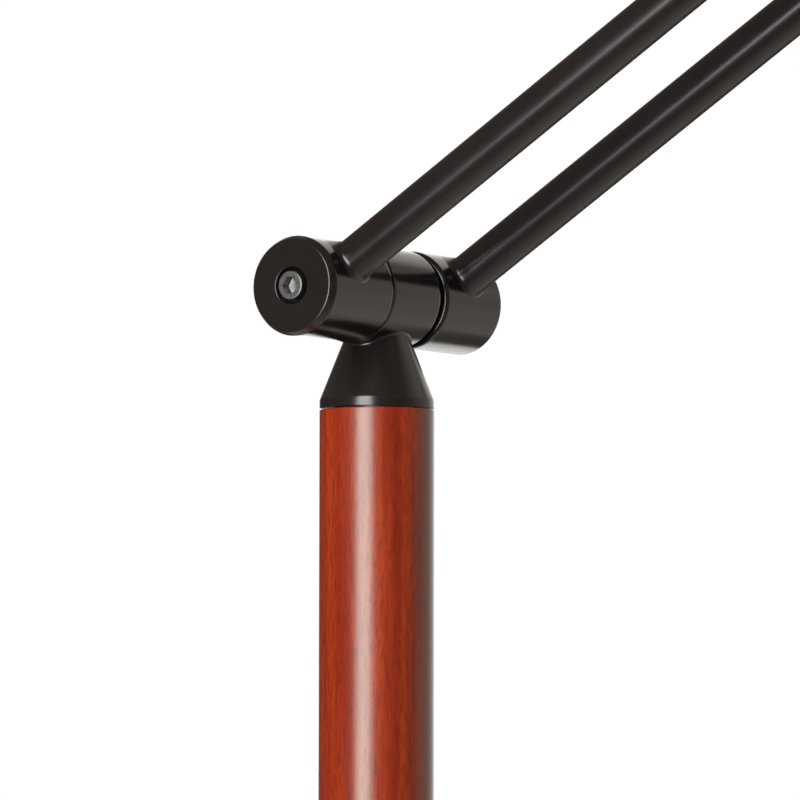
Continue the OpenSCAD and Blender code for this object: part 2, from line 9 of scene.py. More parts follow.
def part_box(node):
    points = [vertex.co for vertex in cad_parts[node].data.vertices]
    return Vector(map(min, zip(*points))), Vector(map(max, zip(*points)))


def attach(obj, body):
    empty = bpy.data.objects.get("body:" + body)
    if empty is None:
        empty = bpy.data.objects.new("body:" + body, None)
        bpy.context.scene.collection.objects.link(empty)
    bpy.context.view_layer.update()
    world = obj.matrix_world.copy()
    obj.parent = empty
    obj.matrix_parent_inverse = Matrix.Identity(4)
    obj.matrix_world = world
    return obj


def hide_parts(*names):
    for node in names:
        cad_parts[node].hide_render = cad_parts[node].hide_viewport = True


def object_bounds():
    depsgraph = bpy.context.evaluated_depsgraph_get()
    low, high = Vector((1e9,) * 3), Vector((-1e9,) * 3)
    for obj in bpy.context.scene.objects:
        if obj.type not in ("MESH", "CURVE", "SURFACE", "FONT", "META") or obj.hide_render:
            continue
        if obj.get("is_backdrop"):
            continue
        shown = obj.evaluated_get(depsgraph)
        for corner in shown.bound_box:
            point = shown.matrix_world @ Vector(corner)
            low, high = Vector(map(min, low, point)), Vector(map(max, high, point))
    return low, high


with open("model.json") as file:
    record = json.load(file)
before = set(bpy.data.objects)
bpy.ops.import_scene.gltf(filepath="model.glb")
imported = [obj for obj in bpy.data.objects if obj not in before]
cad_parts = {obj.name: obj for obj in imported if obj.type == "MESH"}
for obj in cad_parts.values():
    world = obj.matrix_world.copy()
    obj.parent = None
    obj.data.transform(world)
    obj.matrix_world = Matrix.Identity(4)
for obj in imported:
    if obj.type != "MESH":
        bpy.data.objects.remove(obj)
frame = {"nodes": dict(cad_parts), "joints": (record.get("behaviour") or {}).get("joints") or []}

cad_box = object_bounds()

# Units, and how finely round pieces are drawn
MM = 0.001
STEPS = 96
FINE_STEPS = 144
BASE_STEPS = 192
SMALL_STEPS = 64
GRUB_STEPS = 48
HOLE_STEPS = 32
ROUND_STEPS = 6
WELD_STEPS = 12
MERGE = 0.002 * MM
CREASE = math.radians(38)
X, Y, Z = Vector((1, 0, 0)), Vector((0, 1, 0)), Vector((0, 0, 1))


def span(node, axis):
    """Lowest and highest coordinate of a CAD node along an axis"""
    low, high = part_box(node)
    return low[axis], high[axis]


def radius(node, axis=0):
    low, high = span(node, axis)
    return (high - low) / 2


# Hinges and arms, from the frame
hinge_at = {joint["name"]: Vector(joint["pos_m"]) for joint in frame["joints"]}
shoulder = hinge_at["shoulder_tilt"]
head = hinge_at["head_tilt"]
arm_line = (head - shoulder).normalized()
arm_len = (head - shoulder).length
arm_r = radius("front_arm_tube", 1)
drum_r = radius("front_shoulder_drum")
column_r = radius("column")
front_out, front_in = span("front_shoulder_drum", 1)
rear_in, rear_out = span("rear_shoulder_drum", 1)
tee_front = span("shoulder_front_ring", 1)[1]
tee_rear = span("shoulder_rear_ring", 1)[0]
front_arm_y = sum(span("front_arm_tube", 1)) / 2
rear_arm_y = sum(span("rear_arm_tube", 1)) / 2

# Roundings and small sizes of the hinges
face_drop = 1.1 * MM
face_reach = 2.2 * MM
face_round = 0.75 * MM
side_round = 1.5 * MM
drum_round = 1.4 * MM
gap_drop = 0.35 * MM
gap_reach = 1.3 * MM
recess_round = 0.4 * MM
weld_least = 0.8 * MM
weld_rise = 1.0 * MM
weld_fill = 0.4 * MM
front_weld_spread = 3.6 * MM
rear_weld_spread = 3.2 * MM
saddle_r = 0.8 * MM
cone_blend = 2.6 * MM
weld_sink = 0.4 * MM
bolt_hole_r = 2.6 * MM
counterbore_r = 5.35 * MM
counterbore_depth = 4.3 * MM
nut_recess_r = 7.0 * MM
wire_space_r = 9.5 * MM
wire_space_depth = 18.5 * MM
tee_space_depth = 13 * MM
cone_slope = math.tan(math.radians(21.7))
cone_lip = 2.5 * MM
lip_round = 2.8 * MM
lip_edge_round = 0.2 * MM

# Bores that more than one piece shares
rod_hole_r = 5.1 * MM
nipple_hole_r = 5.1 * MM
shade_neck_r = 19.1 * MM


# Shapes

def seat(place, rise, ahead):
    """Frame of a round piece: its origin, its axis, and the direction of angle 0"""
    return Matrix.Translation(place) @ Matrix((ahead, rise.cross(ahead), rise)).transposed().to_4x4()


def circle(r, height):
    return lambda angle: Vector((r * math.cos(angle), r * math.sin(angle), height))


def ring_of(radius_at, height):
    """Row whose radius changes with the angle"""
    return lambda angle: circle(radius_at(angle), height)(angle)


def hexagon(flats, angle):
    """Radius of a hexagon of that width across flats, at an angle"""
    return flats / 2 / math.cos((angle + math.pi / 6) % (math.pi / 3) - math.pi / 6)


def outline(*corners):
    """Points (radius, height) of an outline. A corner's third number is its rounding. A corner with a
    fourth is eased: its curve starts the third number before the corner and ends the fourth after it."""
    points = []
    for index, corner in enumerate(corners):
        here = Vector(corner[:2])
        if len(corner) < 3:
            points.append(here)
            continue
        back = (Vector(corners[index - 1][:2]) - here).normalized()
        ahead = (Vector(corners[index + 1][:2]) - here).normalized()
        if len(corner) == 4:
            before, after = back * corner[2], ahead * corner[3]
            for step in range(2 * ROUND_STEPS + 1):
                turn = math.pi / 4 * step / ROUND_STEPS
                points.append(here + before * (1 - math.sin(turn)) + after * (1 - math.cos(turn)))
            continue
        rounding = corner[2]
        half = back.angle(ahead) / 2
        reach = rounding / math.tan(half)
        hold = rounding / 4
        centre = here + (back + ahead).normalized() * rounding / math.sin(half)
        first = (here + back * reach - centre) / rounding
        last = (here + ahead * reach - centre) / rounding
        points.append(here + back * (reach + hold))
        for step in range(ROUND_STEPS + 1):
            points.append(centre + first.slerp(last, step / ROUND_STEPS) * rounding)
        points.append(here + ahead * (reach + hold))
    return points


def turned(*corners):
    """Rows of a piece turned on a lathe"""
    return [circle(r, height) for r, height in outline(*corners)]


def wrap(bm, place, rows, steps=STEPS):
    """Wraps a grid round a seat's axis, with one row of the grid for each row given"""
    last = len(rows) - 1
    grid = bmesh.ops.create_grid(bm, x_segments=steps, y_segments=last, size=0.5)["verts"]
    for vert in grid:
        angle = 2 * math.pi * (vert.co.x + 0.5)
        vert.co = place @ rows[round((vert.co.y + 0.5) * last)](angle)
    bmesh.ops.remove_doubles(bm, verts=grid, dist=MERGE)


def close_ends(bm):
    open_edges = [edge for edge in bm.edges if edge.is_boundary]
    bmesh.ops.holes_fill(bm, edges=open_edges, sides=0)


def weld_point(angle, share, stem_r, slope, weld):
    """Point of the hollow weld where a stem along Z meets a drum along Y.
    The stem's radius is stem_r + slope * z. A share of 0 touches the stem and 1 the drum."""
    out = Vector((math.cos(angle), math.sin(angle), -slope)).normalized()
    height = drum_r
    for _ in range(16):
        reach = stem_r + slope * (height - weld * out.z) + weld * out.xy.length
        height = math.sqrt((drum_r + weld) ** 2 - (reach * math.cos(angle)) ** 2)
    ball = circle(reach, height)(angle)
    to_drum = -Vector((ball.x, 0, ball.z)).normalized()
    return ball + weld * (-out).slerp(to_drum, share)


def arm_weld_point(angle, share, spread):
    """Point of the weld where an arm's tube along Z meets a drum along Y. It spreads least at angle 0, below
    the arm, and most across from it. A share of 0 touches the tube and 1 the drum."""
    over = (1 - math.cos(angle)) / 2
    reach = weld_least + (spread - weld_least) * over ** 2
    out = arm_r + reach
    toe_height = math.sqrt(drum_r ** 2 - (out * math.cos(angle)) ** 2)
    bend_height = toe_height + reach * out * math.cos(angle) ** 2 / toe_height + weld_fill * over
    toe = circle(out, toe_height)(angle)
    bend = circle(arm_r, bend_height)(angle)
    top = circle(arm_r, bend_height + weld_rise * (2 - over))(angle)
    return top.lerp(bend, share).lerp(bend.lerp(toe, share), share)


def weld_rows(point_at):
    """Rows of a weld, from just under the drum's skin out to the stem"""
    def on_weld(share):
        return lambda angle: point_at(angle, share)

    def under(angle):
        point = point_at(angle, 1)
        return point - Vector((point.x, 0, point.z)).normalized() * weld_sink

    return [under] + [on_weld(1 - step / WELD_STEPS) for step in range(WELD_STEPS + 1)]


def piece(name, bm, body, slot, finishes, *nodes):
    """Makes an object of a mesh, lets it ride on a body and stand for CAD nodes"""
    bmesh.ops.dissolve_degenerate(bm, dist=MERGE, edges=bm.edges)
    bmesh.ops.recalc_face_normals(bm, faces=bm.faces)
    mesh = bpy.data.meshes.new(name)
    bm.to_mesh(mesh)
    bm.free()
    mesh.shade_smooth()
    mesh.set_sharp_from_angle(angle=CREASE)
    for finish in finishes:
        mesh.materials.append(finish)
    made = bpy.data.objects.new(name, mesh)
    bpy.context.scene.collection.objects.link(made)
    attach(made, body)
    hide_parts(*nodes)
    return made


# Finishes

class Flow:
    """A socket of a node tree. Arithmetic on it adds Math nodes."""

    def __init__(self, tree, socket):
        self.tree = tree
        self.socket = socket

    def maths(self, operation, first, second):
        return self.tree.node("ShaderNodeMath", {"operation": operation}, {0: first, 1: second})

    def __add__(self, other):
        return self.maths("ADD", self, other)

    def __radd__(self, other):
        return self.maths("ADD", other, self)

    def __sub__(self, other):
        return self.maths("SUBTRACT", self, other)

    def __rsub__(self, other):
        return self.maths("SUBTRACT", other, self)

    def __mul__(self, other):
        return self.maths("MULTIPLY", self, other)

    def __rmul__(self, other):
        return self.maths("MULTIPLY", other, self)


class Tree:
    """A node tree that is written as expressions"""

    def __init__(self, owner):
        owner.use_nodes = True
        self.nodes = owner.node_tree.nodes
        self.links = owner.node_tree.links

    def node(self, kind, settings=None, inputs=None, output=0):
        made = self.nodes.new(kind)
        for key, value in (settings or {}).items():
            setattr(made, key, value)
        self.feed(made, inputs or {})
        return Flow(self, made.outputs[output])

    def end(self, kind, surface):
        self.feed(self.nodes.new(kind), {"Surface": surface})

    def ray(self, *kinds):
        """1 for light rays of those kinds"""
        total = self.node("ShaderNodeLightPath", output=kinds[0])
        for kind in kinds[1:]:
            total = total.maths("MAXIMUM", total, self.node("ShaderNodeLightPath", output=kind))
        return total

    def feed(self, node, inputs):
        for key, value in inputs.items():
            if isinstance(value, Flow):
                self.links.new(value.socket, node.inputs[key])
            else:
                node.inputs[key].default_value = value

    def ramp(self, value, low, high):
        """0 below low, 1 above high, smooth between them"""
        return self.node("ShaderNodeMapRange", {"interpolation_type": "SMOOTHSTEP"},
                         {"Value": value, "From Min": low, "From Max": high})

    def mix(self, share, first, second):
        return self.node("ShaderNodeMix", {"data_type": "RGBA"}, {0: share, 6: first, 7: second}, 2)


class Finish(Tree):
    """A material with one Principled shader"""

    def __init__(self, name, **constants):
        self.material = bpy.data.materials.new(name)
        super().__init__(self.material)
        self.shader = self.nodes["Principled BSDF"]
        self.feed(self.shader, {key.replace("_", " "): value for key, value in constants.items()})

    def place(self, stretch=(1, 1, 1)):
        """Object coordinates, drawn out along the axes by their share of stretch"""
        coords = self.node("ShaderNodeTexCoord", output=3)
        scale = [1 / length for length in stretch]
        return self.node("ShaderNodeMapping", {}, {"Vector": coords, "Scale": scale})

    def noise(self, place, grain, detail, roughness=0.5):
        """Noise whose lumps are about one grain across"""
        return self.node("ShaderNodeTexNoise", {},
                         {"Vector": place, "Scale": 1 / grain, "Detail": detail, "Roughness": roughness})

    def bump(self, height, depth, strength):
        return self.node("ShaderNodeBump", {}, {"Height": height, "Distance": depth, "Strength": strength})

    def wear(self, **inputs):
        """Feeds the shader and returns the finished material"""
        self.feed(self.shader, {key.replace("_", " "): value for key, value in inputs.items()})
        return self.material


def colour(red, green, blue):
    return (red, green, blue, 1.0)


def coat_of_paint(name, dark, light, gloss):
    """Sprayed paint: faint clouds in its tone and gloss, and a fine orange-peel surface"""
    paint = Finish(name, IOR=1.5)
    cloud = paint.noise(paint.place(), 14 * MM, 3)
    peel = paint.noise(paint.place(), 0.8 * MM, 1)
    return paint.wear(Base_Color=paint.mix(cloud, dark, light), Roughness=gloss + cloud * 0.08,
                      Normal=paint.bump(peel, 0.012 * MM, 0.5))


def stained_wood():
    """Red cherry stain on fine-pored wood, under a satin lacquer"""
    wood = Finish("cherry_wood", IOR=1.5, Specular_IOR_Level=0.59, Specular_Tint=colour(0.72, 1, 0.93))
    bands = wood.noise(wood.place((1, 1, 25)), 4 * MM, 2)
    streaks = wood.noise(wood.place((1, 1, 7)), 0.8 * MM, 3, 0.65)
    pores = wood.ramp(wood.noise(wood.place((1, 1, 6)), 0.4 * MM, 1), 0.62, 0.74)
    tone = wood.mix(wood.ramp(bands, 0.3, 0.7), colour(0.2, 0.0155, 0.0045), colour(0.325, 0.036, 0.0066))
    tone = wood.mix(wood.ramp(streaks, 0.4, 0.75) * 0.7, tone, colour(0.125, 0.0095, 0.003))
    tone = wood.mix(pores * 0.5, tone, colour(0.053, 0.0054, 0.002))
    return wood.wear(Base_Color=tone, Roughness=0.27 + pores * 0.05,
                     Normal=wood.bump(streaks - pores * 0.3, 0.02 * MM, 0.35))


def metal(name, dull, bright, gloss, grain, metallic=1.0):
    """Metal with fine marks in its tone and gloss"""
    made = Finish(name, Metallic=metallic)
    marks = made.noise(made.place(), grain, 3)
    return made.wear(Base_Color=made.mix(marks, dull, bright), Roughness=gloss + marks * 0.15,
                     Normal=made.bump(marks, 0.01 * MM, 0.4))


def moulded(name, dark, light, gloss, grain):
    """Plastic, fibre or foam with a fine surface grain"""
    made = Finish(name, IOR=1.5)
    spots = made.noise(made.place(), grain, 2)
    cloud = made.noise(made.place(), 25 * grain, 2)
    return made.wear(Base_Color=made.mix(cloud, dark, light), Roughness=gloss + spots * 0.1,
                     Normal=made.bump(spots, grain / 12, 0.5))


black_paint = coat_of_paint(
    "satin_black_paint", colour(0.0108, 0.0076, 0.0069), colour(0.0134, 0.0097, 0.0088), 0.17)
# The arms take a copy of the black paint that is a little darker, as painted shade, so that they read as
# dark as they look under this light
shaded_arm_paint = coat_of_paint(
    "shaded_arm_black_paint", colour(0.0099, 0.007, 0.0063), colour(0.0123, 0.0089, 0.0081), 0.19)
white_paint = coat_of_paint("matt_white_paint", colour(0.78, 0.77, 0.74), colour(0.82, 0.81, 0.79), 0.5)
cherry_wood = stained_wood()
black_steel = metal("black_steel", colour(0.125, 0.121, 0.116), colour(0.275, 0.267, 0.256), 0.36, 0.5 * MM)
zinc_steel = metal("zinc_steel", colour(0.45, 0.46, 0.47), colour(0.62, 0.62, 0.61), 0.3, 2 * MM)
cast_iron = metal("cast_iron", colour(0.08, 0.08, 0.08), colour(0.14, 0.14, 0.14), 0.6, 1.5 * MM, 0.6)
brass = metal("brass", colour(0.62, 0.42, 0.16), colour(0.75, 0.54, 0.24), 0.22, 3 * MM)
cap_metal = metal("bulb_cap_metal", colour(0.6, 0.6, 0.6), colour(0.75, 0.75, 0.74), 0.28, 2 * MM)
black_foam = moulded("black_foam", colour(0.02, 0.02, 0.02), colour(0.035, 0.035, 0.035), 0.8, 0.6 * MM)
black_plastic = moulded(
    "black_plastic", colour(0.016, 0.016, 0.016), colour(0.024, 0.024, 0.024), 0.4, 0.3 * MM)
# The fibre's tone is set lighter than black fibre, as painted light, so that the shaded gaps between the
# drums where the rings show are less black
black_fibre = moulded("black_fibre", colour(0.03, 0.03, 0.03), colour(0.045, 0.045, 0.045), 0.6, 0.25 * MM)
nylon = moulded("nylon", colour(0.7, 0.69, 0.64), colour(0.78, 0.77, 0.73), 0.4, 0.4 * MM)
white_phenolic = moulded("white_phenolic", colour(0.74, 0.72, 0.67), colour(0.8, 0.78, 0.74), 0.25, 0.5 * MM)


def opal_glass():
    """Frosted white bulb, faintly cloudy"""
    glass = Finish("opal_glass", IOR=1.5, Transmission_Weight=0.25, Coat_Weight=0.4)
    cloud = glass.noise(glass.place(), 18 * MM, 2)
    frost = glass.noise(glass.place(), 0.4 * MM, 1)
    tone = glass.mix(cloud, colour(0.86, 0.85, 0.81), colour(0.91, 0.9, 0.87))
    return glass.wear(Base_Color=tone, Roughness=0.3 + cloud * 0.1, Normal=glass.bump(frost, 0.01 * MM, 0.3))


opal = opal_glass()


# Camera

view_turn = math.radians(34.084)
view_pitch = math.radians(3.951)
view_roll = math.radians(0.106)
hub_ahead, hub_right, hub_up = 1763.8 * MM, -6.62 * MM, 30.18 * MM
ahead_level = Vector((-math.sin(view_turn), math.cos(view_turn), 0))
right_level = Vector((math.cos(view_turn), math.sin(view_turn), 0))


def make_camera():
    look = math.cos(view_pitch) * ahead_level + math.sin(view_pitch) * Z
    rise = math.cos(view_pitch) * Z - math.sin(view_pitch) * ahead_level
    right = math.cos(view_roll) * right_level + math.sin(view_roll) * rise
    up = math.cos(view_roll) * rise - math.sin(view_roll) * right_level
    eye = shoulder - hub_right * right - hub_up * up - hub_ahead * look
    data = bpy.data.cameras.new("camera")
    data.sensor_width = 36
    data.lens = 272.93
    camera = bpy.data.objects.new("camera", data)
    camera.matrix_world = Matrix.Translation(eye) @ Matrix((right, up, -look)).transposed().to_4x4()
    bpy.context.scene.collection.objects.link(camera)
    bpy.context.scene.camera = camera


make_camera()


# Column and base

def make_column():
    low, high = span("column", 2)
    end_round = 0.4 * MM
    bm = bmesh.new()
    wrap(bm, seat(Vector(), Z, X),
         turned((0, low), (column_r, low, end_round), (column_r, high, end_round), (0, high)))
    piece("lamp_column", bm, "stand", "cherry_wood", [cherry_wood], "column")


def make_base():
    low, high = span("base_cover", 2)
    base_r = radius("base_cover")
    wall = 2 * MM
    edge_round = 7 * MM
    crown_r = 34 * MM
    crown_fall = 5.35 * MM
    hem_round = 0.4 * MM
    inner_r = base_r - wall
    ceiling = high - wall
    bm = bmesh.new()
    wrap(bm, seat(Vector(), Z, X), turned(
        (rod_hole_r, ceiling), (crown_r, ceiling), (inner_r, ceiling - crown_fall, edge_round - wall),
        (inner_r, low, hem_round), (base_r, low, hem_round), (base_r, high - crown_fall, edge_round),
        (crown_r, high, edge_round), (rod_hole_r, high), (rod_hole_r, ceiling)), BASE_STEPS)
    piece("lamp_base_cover", bm, "stand", "black_paint", [black_paint], "base_cover")

    pad_low, pad_high = span("base_pad", 2)
    pad_r = radius("base_pad")
    pad_round = 0.8 * MM
    bm = bmesh.new()
    wrap(bm, seat(Vector(), Z, X),
         turned((0, pad_low), (pad_r, pad_low, pad_round), (pad_r, pad_high), (0, pad_high)), BASE_STEPS)
    piece("lamp_base_pad", bm, "stand", "foam", [black_foam], "base_pad")


def make_foot_cone():
    low, high = span("foot_cone", 2)
    foot_r = radius("foot_cone")
    foot_round = 1.6 * MM
    bm = bmesh.new()
    wrap(bm, seat(Vector(), Z, X), turned(
        (rod_hole_r, low), (foot_r, low, lip_edge_round), (foot_r, low + cone_lip, foot_round),
        (column_r, high - cone_lip, lip_round), (column_r, high, lip_edge_round),
        (rod_hole_r, high), (rod_hole_r, low)))
    piece("lamp_foot_cone", bm, "stand", "black_paint", [black_paint], "foot_cone")


def make_gland():
    """Cord gland at the back of the base. A thin membrane closes its bore."""
    out, inner = span("cord_gland", 0)
    flange_r = radius("cord_gland", 1)
    height = sum(span("cord_gland", 2)) / 2
    bore_r, body_r, flange_t = 3.3 * MM, 4.5 * MM, 2 * MM
    face_edge, back_edge, membrane_back = 0.6 * MM, 0.2 * MM, 1.2 * MM
    depth = inner - out
    bm = bmesh.new()
    wrap(bm, seat(Vector((out, 0, height)), X, Y), turned(
        (bore_r, 0, face_edge), (flange_r, 0, face_edge), (flange_r, flange_t, back_edge),
        (body_r, flange_t), (body_r, depth), (bore_r, depth), (bore_r, membrane_back)), SMALL_STEPS)
    close_ends(bm)
    piece("lamp_cord_gland", bm, "stand", "black_plastic", [black_plastic], "cord_gland")


# Hinges

def make_drums(label, hub):
    """The two drums of the arms on one hinge"""
    bolt_seat = front_out + counterbore_depth
    bm = bmesh.new()
    wrap(bm, seat(hub, Y, arm_line), turned(
        (bolt_hole_r, bolt_seat), (counterbore_r, bolt_seat), (counterbore_r, front_out, recess_round),
        (drum_r - face_drop, front_out, face_round), (drum_r, front_out + face_reach, side_round),
        (drum_r, front_in, gap_reach, gap_drop), (bolt_hole_r, front_in), (bolt_hole_r, bolt_seat)))
    piece(f"lamp_front_{label}_drum", bm, "arms", "black_paint", [black_paint], f"front_{label}_drum")

    spring_seat = span(f"{label}_disc_spring", 1)[0]
    space_end = rear_in + wire_space_depth
    bm = bmesh.new()
    wrap(bm, seat(hub, Y, arm_line), turned(
        (bolt_hole_r, spring_seat), (nut_recess_r, spring_seat), (nut_recess_r, rear_out, recess_round),
        (drum_r, rear_out, drum_round), (drum_r, rear_in, drum_round), (wire_space_r, rear_in),
        (wire_space_r, space_end), (bolt_hole_r, space_end), (bolt_hole_r, spring_seat)))
    piece(f"lamp_rear_{label}_drum", bm, "arms", "black_paint", [black_paint], f"rear_{label}_drum")


def make_tee(label, hub, body):
    """Fixed drum and its cone"""
    space_start = tee_rear - tee_space_depth
    foot = hub.z - span(f"{label}_tee", 2)[0]
    lip_top = foot - cone_lip
    stem_r = column_r - cone_slope * lip_top
    cone_mid = (drum_r + lip_top) / 2 + cone_blend

    def saddle(angle, share):
        return weld_point(angle, share, stem_r, cone_slope, saddle_r)

    bm = bmesh.new()
    wrap(bm, seat(hub, Y, X), turned(
        (bolt_hole_r, tee_front), (drum_r, tee_front, gap_drop, gap_reach),
        (drum_r, tee_rear, gap_reach, gap_drop), (wire_space_r, tee_rear), (wire_space_r, space_start),
        (bolt_hole_r, space_start), (bolt_hole_r, tee_front)))
    wrap(bm, seat(hub, -Z, X), weld_rows(saddle) + turned(
        (stem_r + cone_slope * cone_mid, cone_mid), (column_r, lip_top, lip_round),
        (column_r, foot, lip_edge_round), (0, foot)))
    close_ends(bm)
    return piece(f"lamp_{label}_tee", bm, body, "black_paint", [black_paint], f"{label}_tee")


def make_arm(name, y, node, spread):
    """One tube with the welds at both ends"""
    def weld(angle, share):
        return arm_weld_point(angle, share, spread)

    foot = weld_rows(weld)

    def at_head(row):
        def point(angle):
            there = row(angle)
            return Vector((there.x, there.y, arm_len - there.z))
        return point

    place = seat(shoulder + y * Y, arm_line, Y.cross(arm_line))
    bm = bmesh.new()
    wrap(bm, place, foot + [at_head(row) for row in reversed(foot)])
    close_ends(bm)
    # The tube and its welds wear the darker copy of the black paint, which is painted shade
    piece(name, bm, "arms", "black_paint", [shaded_arm_paint], node, "weld_beads")


def make_bolt(label, hub):
    """Socket cap screw with a knurled head"""
    head_out, shank_end = span(f"{label}_bolt", 1)
    head_r = radius(f"{label}_bolt")
    flats, depth, drill_depth = 4.6 * MM, 3.2 * MM, 3.8 * MM
    mouth, shank_r, tip_round = 0.15 * MM, 2.5 * MM, 0.6 * MM
    head_h, head_chamfer, crown_round = 5 * MM, 0.3 * MM, 0.4 * MM
    knurl_start, knurl_depth, knurls = 1.2 * MM, 0.08 * MM, 36
    length = shank_end - head_out
    top_r = head_r - knurl_depth

    def socket_at(angle):
        return hexagon(flats, angle + math.pi / 6)

    def mouth_at(angle):
        return hexagon(flats + 2 * mouth, angle + math.pi / 6)

    def knurl_at(angle):
        return head_r - knurl_depth * (0.5 - 0.5 * math.cos(knurls * angle))

    bm = bmesh.new()
    wrap(bm, seat(hub + head_out * Y, Y, X), [
        circle(0, drill_depth), ring_of(socket_at, depth), ring_of(socket_at, mouth), ring_of(mouth_at, 0),
        *turned((flats / 2, 0), (top_r, 0, crown_round), (top_r, knurl_start))[1:-1],
        ring_of(knurl_at, knurl_start), ring_of(knurl_at, head_h - head_chamfer),
        circle(head_r - head_chamfer, head_h),
        *turned((shank_r, head_h), (shank_r, length, tip_round), (0, length))], FINE_STEPS)
    piece(f"lamp_{label}_bolt", bm, "arms", "black_steel", [black_steel], f"{label}_bolt")


def make_nut(label, hub):
    """Lock nut with its round collar"""
    inner, outer = span(f"{label}_nut", 1)
    flats = 8 * MM
    thick = outer - inner
    collar_r, collar_h, collar_round = 3.5 * MM, 1.4 * MM, 0.8 * MM
    hole_r = 2.55 * MM
    face_r = flats * 0.48
    fall = math.tan(math.radians(30))

    def flats_at(angle):
        return hexagon(flats, angle)

    def chamfer(height, way):
        return lambda angle: circle(flats_at(angle), height - way * fall * (flats_at(angle) - face_r))(angle)

    body_h = thick - collar_h
    bm = bmesh.new()
    wrap(bm, seat(hub + inner * Y, Y, arm_line), [
        circle(hole_r, 0), circle(face_r, 0), chamfer(0, -1), chamfer(body_h, 1), circle(face_r, body_h),
        *turned((collar_r, body_h), (collar_r, thick, collar_round), (hole_r, thick)), circle(hole_r, 0)])
    piece(f"lamp_{label}_nut", bm, "arms", "black_steel", [black_steel], f"{label}_nut")


def make_rings(label, hub, body):
    """Friction rings and the disc spring of one hinge"""
    front_bore, edge = 6 * MM, 0.15 * MM
    spring_t, spring_edge = 1 * MM, 0.2 * MM
    for name, bore in ((f"{label}_front_ring", front_bore), (f"{label}_rear_ring", wire_space_r)):
        low, high = span(name, 1)
        ring_r = radius(name)
        bm = bmesh.new()
        wrap(bm, seat(hub, Y, X), turned(
            (bore, low), (ring_r, low, edge), (ring_r, high, edge), (bore, high), (bore, low)))
        piece("lamp_" + name, bm, body, "black_fibre", [black_fibre], name)

    name = f"{label}_disc_spring"
    low, high = span(name, 1)
    spring_r = radius(name)
    bm = bmesh.new()
    wrap(bm, seat(hub, Y, X), turned(
        (bolt_hole_r, high - spring_t), (spring_r, low, spring_edge),
        (spring_r, low + spring_t, spring_edge), (bolt_hole_r, high), (bolt_hole_r, high - spring_t)))
    piece("lamp_" + name, bm, "arms", "zinc_steel", [zinc_steel], name)


def drill(target, holes):
    """Cuts round holes, given as (seat, radius, depth), through a finished piece"""
    bm = bmesh.new()
    for place, hole_r, depth in holes:
        middle = place @ Matrix.Translation(Vector((0, 0, depth / 2)))
        bmesh.ops.create_cone(bm, cap_ends=True, segments=HOLE_STEPS, radius1=hole_r, radius2=hole_r,
                              depth=depth, matrix=middle)
    mesh = bpy.data.meshes.new("drill")
    bm.to_mesh(mesh)
    bm.free()
    tool = bpy.data.objects.new("drill", mesh)
    bpy.context.scene.collection.objects.link(tool)
    cut = target.modifiers.new("drill", "BOOLEAN")
    cut.object = tool
    cut.solver = "EXACT"
    shaped = bpy.data.meshes.new_from_object(target.evaluated_get(bpy.context.evaluated_depsgraph_get()))
    target.modifiers.remove(cut)
    bpy.data.objects.remove(tool)
    bm = bmesh.new()
    bm.from_mesh(shaped)
    bmesh.ops.remove_doubles(bm, verts=bm.verts, dist=MERGE)
    bmesh.ops.dissolve_degenerate(bm, dist=MERGE, edges=bm.edges)
    bmesh.ops.recalc_face_normals(bm, faces=bm.faces)
    bm.to_mesh(shaped)
    bm.free()
    shaped.set_sharp_from_angle(angle=CREASE)
    target.data = shaped


def make_grub_screw(tee):
    """Grub screw at the back of the shoulder's cone, in its hole"""
    outer, tip = span("swivel_screw", 0)
    height = sum(span("swivel_screw", 2)) / 2
    grub_r = radius("swivel_screw", 1)
    hole_gap = 0.1 * MM
    flats, depth, land_r = 2 * MM, 2.5 * MM, 1.4 * MM
    rim_round, tip_round = 0.3 * MM, 0.5 * MM
    length = tip - outer
    place = seat(Vector((outer, 0, height)), X, Y)
    drill(tee, [(seat(Vector((-column_r, 0, height)), X, Y), grub_r + hole_gap, tip + column_r)])

    def socket_at(angle):
        return hexagon(flats, angle)

    bm = bmesh.new()
    wrap(bm, place, [circle(0, depth), ring_of(socket_at, depth), ring_of(socket_at, 0), *turned(
        (land_r, 0), (grub_r, 0, rim_round), (grub_r, length, tip_round), (0, length))], GRUB_STEPS)
    piece("lamp_swivel_screw", bm, "shoulder", "black_steel", [black_steel], "swivel_screw")


# Head

def make_cup():
    low, high = span("socket_cup", 2)
    cup_r = radius("socket_cup")
    wall, top_round, lip = 1.2 * MM, 3 * MM, 0.3 * MM
    vents, vent_r, vent_drop = 10, 2.25 * MM, 11 * MM
    spindle_hole_r = 2.6 * MM
    spindle_z = sum(span("switch_spindle", 2)) / 2
    place = Vector((head.x, 0, 0))
    bm = bmesh.new()
    wrap(bm, seat(place, Z, X), turned(
        (nipple_hole_r, high - wall), (cup_r - wall, high - wall, top_round - wall),
        (cup_r - wall, low, lip), (cup_r, low, lip), (cup_r, high, top_round), (nipple_hole_r, high),
        (nipple_hole_r, high - wall)))
    cup = piece("lamp_socket_cup", bm, "head", "black_paint", [black_paint], "socket_cup")
    holes = []
    for vent in range(vents):
        turn = 2 * math.pi * (vent + 0.5) / vents
        out = Vector((math.cos(turn), math.sin(turn), 0))
        start = place + out * (cup_r - 2 * wall) + (high - vent_drop) * Z
        holes.append((seat(start, out, Z), vent_r, 3 * wall))
    holes.append((seat(place + (cup_r - 2 * wall) * X + spindle_z * Z, X, Z), spindle_hole_r, 3 * wall))
    drill(cup, holes)


